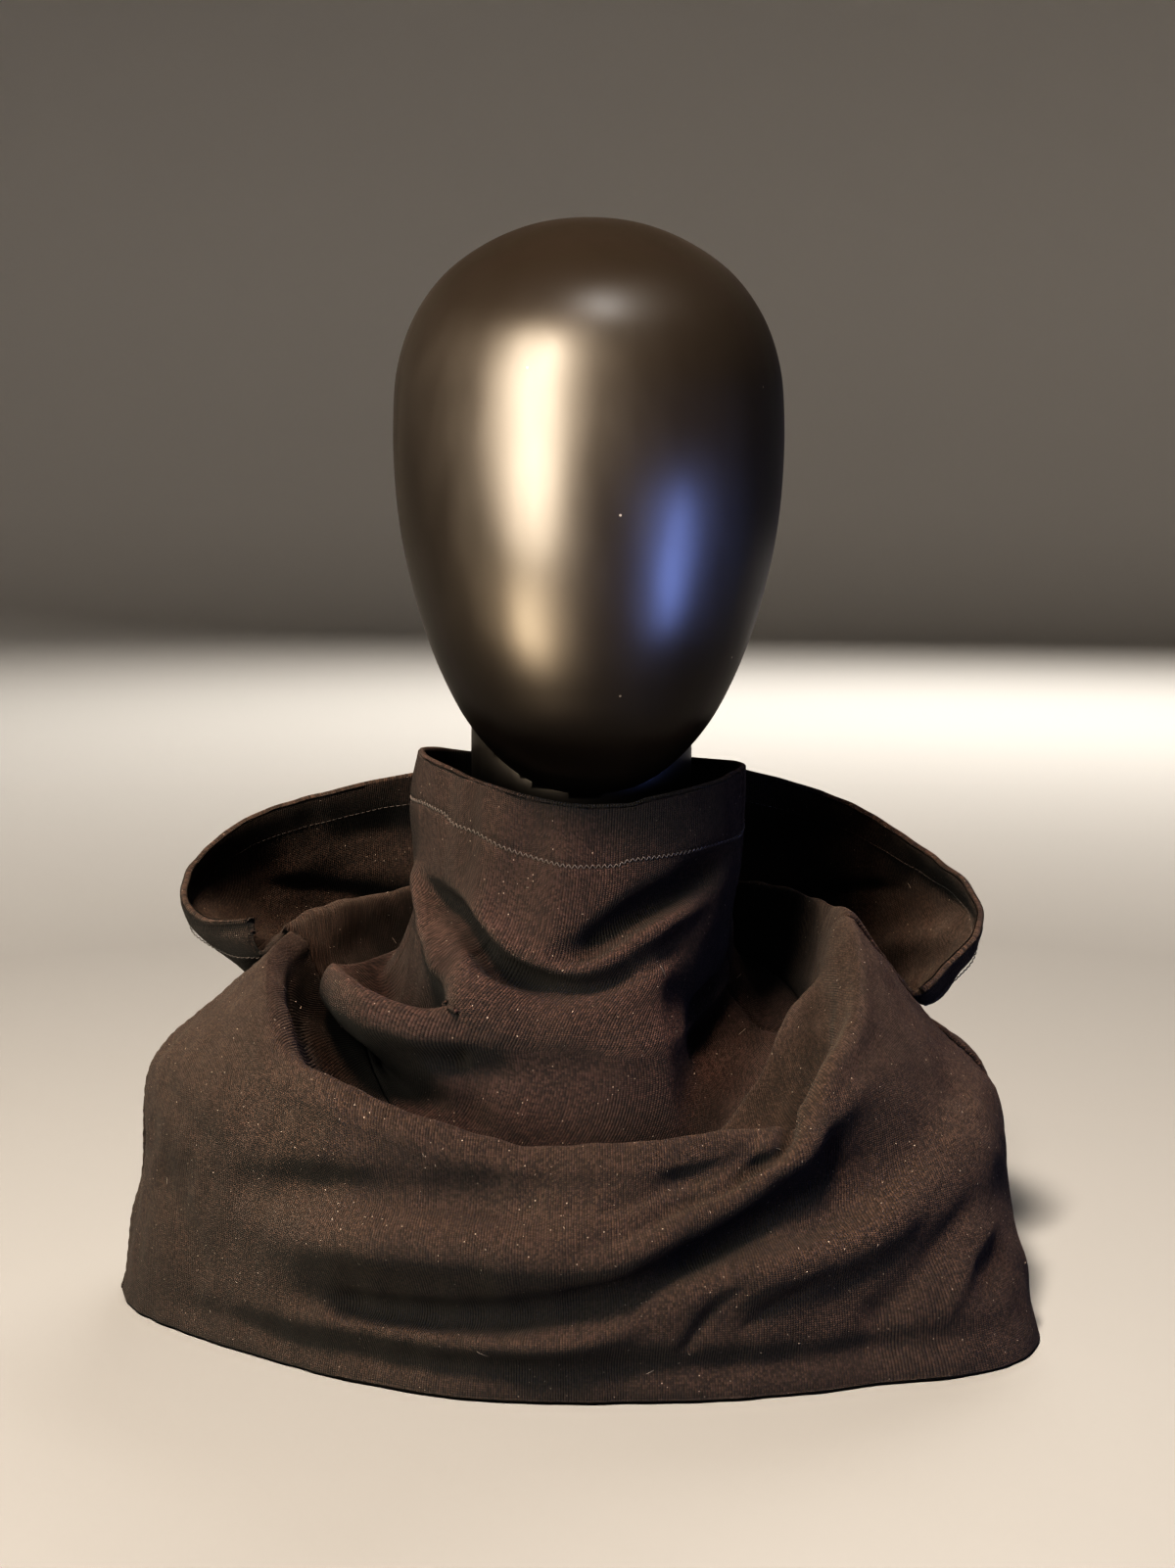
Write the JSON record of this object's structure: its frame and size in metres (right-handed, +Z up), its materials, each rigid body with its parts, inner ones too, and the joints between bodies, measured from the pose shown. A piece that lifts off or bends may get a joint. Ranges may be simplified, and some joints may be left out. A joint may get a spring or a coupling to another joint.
{
  "type": "hooded cowl on a display head",
  "caption": "Snug knit neck gaiter and draped cowl mantle with its hood thrown back, resting on a smooth featureless display head.",
  "frame": {"origin": "centre of the display head's flat base, where it stands", "axes": "+Z up through the neck and head, -Y the way the wearer faces, +X to the viewer's right from the front"},
  "size_m": [0.371, 0.3175, 0.436],
  "materials": {
    "satin_form": "satin black-bronze lacquer",
    "gaiter_knit": "very dark warm brown fine-rib jersey, matt with a soft nap",
    "mantle_knit": "very dark warm brown jersey, matt with a soft nap",
    "hood_knit": "very dark warm brown jersey, matt with a soft nap"
  },
  "bodies": {
    "root": {"display_form": "satin_form", "neck_gaiter": "gaiter_knit", "mantle_front": "mantle_knit", "mantle_back": "mantle_knit", "hood_left": "hood_knit", "hood_right": "hood_knit"}
  },
  "joints": []
}
